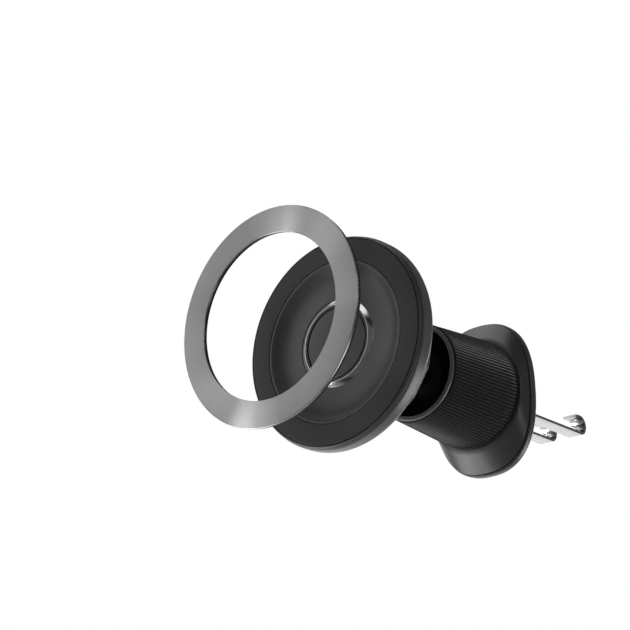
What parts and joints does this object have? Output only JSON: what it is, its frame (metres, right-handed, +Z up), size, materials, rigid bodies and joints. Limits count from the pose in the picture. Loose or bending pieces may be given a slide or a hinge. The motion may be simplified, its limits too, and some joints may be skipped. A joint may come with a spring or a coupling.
{
  "type": "magnetic car vent phone mount",
  "caption": "Round magnetic phone holder on a ball joint, with a ribbed clamp knob, a vent hook with two bent steel strips and a loose steel phone ring.",
  "frame": {"origin": "centre of the rubber pad's rear face, on the land between the hook's two windows, where it rests against the vent", "axes": "+Y into the vent along the arm's axis, +Z up, +X to the right seen from the phone side; the phone side of the head faces -Y"},
  "size_m": [0.0608, 0.1433, 0.0608],
  "materials": {
    "ring_plate": "brushed, satin",
    "ring_backing": "matt adhesive foam",
    "face_pad": "soft silicone, satin",
    "face_disc": "fine satin",
    "badge_ring": "polished chrome plating",
    "badge_disc": "fine satin",
    "front_shell": "satin",
    "magnet": "nickel plated, hidden",
    "steel_yoke": "plain sheet, hidden",
    "rear_shell": "satin",
    "rear_cap": "satin",
    "spin_bush": "natural acetal",
    "spin_washer": "matt",
    "stem_flange": "plain, hidden",
    "screw": "black zinc",
    "ball_stud": "smooth glass filled nylon",
    "seat": "acetal, hidden",
    "seat_retainer": "matt black",
    "seat_spring": "spring steel, hidden",
    "barrel": "matt black, hidden",
    "vent_plate": "satin",
    "back_plate": "satin",
    "vent_pad": "matt, fine cross ribs",
    "knob_sleeve": "satin with fine lengthwise ribs",
    "knob_lip": "smooth satin",
    "knob_nut": "plain, hidden",
    "slip_washer": "black acetal",
    "crosshead": "plain, hidden",
    "prong": "bright rolled spring steel",
    "rivet": "plain, hidden"
  },
  "bodies": {
    "base": {"barrel": "barrel", "seat_retainer": "seat_retainer", "seat_spring": "seat_spring", "vent_plate": "vent_plate", "back_plate": "back_plate", "vent_pad": "vent_pad", "base_screw_1": "screw", "base_screw_2": "screw", "base_screw_3": "screw", "base_screw_4": "screw"},
    "knob": {"knob_sleeve": "knob_sleeve", "knob_lip": "knob_lip", "knob_nut": "knob_nut", "slip_washer": "slip_washer"},
    "hook": {"crosshead": "crosshead", "prong_left": "prong", "prong_right": "prong", "rivet_left": "rivet", "rivet_right": "rivet"},
    "seat": {"seat_front": "seat", "seat_rear": "seat"},
    "stem": {"ball_stud": "ball_stud", "stem_flange": "stem_flange", "stem_screw": "screw"},
    "head": {"face_pad": "face_pad", "face_disc": "face_disc", "badge_ring": "badge_ring", "badge_disc": "badge_disc", "front_shell": "front_shell", "steel_yoke": "steel_yoke", "rear_shell": "rear_shell", "rear_cap": "rear_cap", "spin_bush": "spin_bush", "spin_washer": "spin_washer", "magnet_01": "magnet", "magnet_02": "magnet", "magnet_03": "magnet", "magnet_04": "magnet", "magnet_05": "magnet", "magnet_06": "magnet", "magnet_07": "magnet", "magnet_08": "magnet", "magnet_09": "magnet", "magnet_10": "magnet", "magnet_11": "magnet", "magnet_12": "magnet", "magnet_13": "magnet", "magnet_14": "magnet", "magnet_15": "magnet", "magnet_16": "magnet", "cap_screw_1": "screw", "cap_screw_2": "screw", "cap_screw_3": "screw", "cap_screw_4": "screw"},
    "ring": {"ring_plate": "ring_plate", "ring_backing": "ring_backing"}
  },
  "joints": [
    {"name": "knob_turn", "type": "hinge", "parent": "base", "child": "knob", "pos_m": [0, -0.0097, 0], "axis": [0, 1, 0], "range_deg": [0, 510.5]},
    {"name": "hook_travel", "type": "slide", "parent": "base", "child": "hook", "axis": [0, 1, 0], "range_m": [-0.0085, 0]},
    {"name": "seat_swivel", "type": "hinge", "parent": "base", "child": "seat", "pos_m": [0, -0.0276, 0], "axis": [0, 1, 0], "continuous": true},
    {"name": "ball_tilt", "type": "hinge", "parent": "seat", "child": "stem", "pos_m": [0, -0.0276, 0], "axis": [1, 0, 0], "range_deg": [-25, 25]},
    {"name": "head_spin", "type": "hinge", "parent": "stem", "child": "head", "pos_m": [0, -0.06, 0], "axis": [0, 1, 0], "continuous": true},
    {"name": "ring_pull", "type": "slide", "parent": "head", "child": "ring", "axis": [0, 1, 0], "range_m": [-0.03, 0.025]}
  ],
  "couplings": [
    {"joint": "knob_turn", "follows": "hook_travel", "rad_per_m": -1047.2}
  ]
}
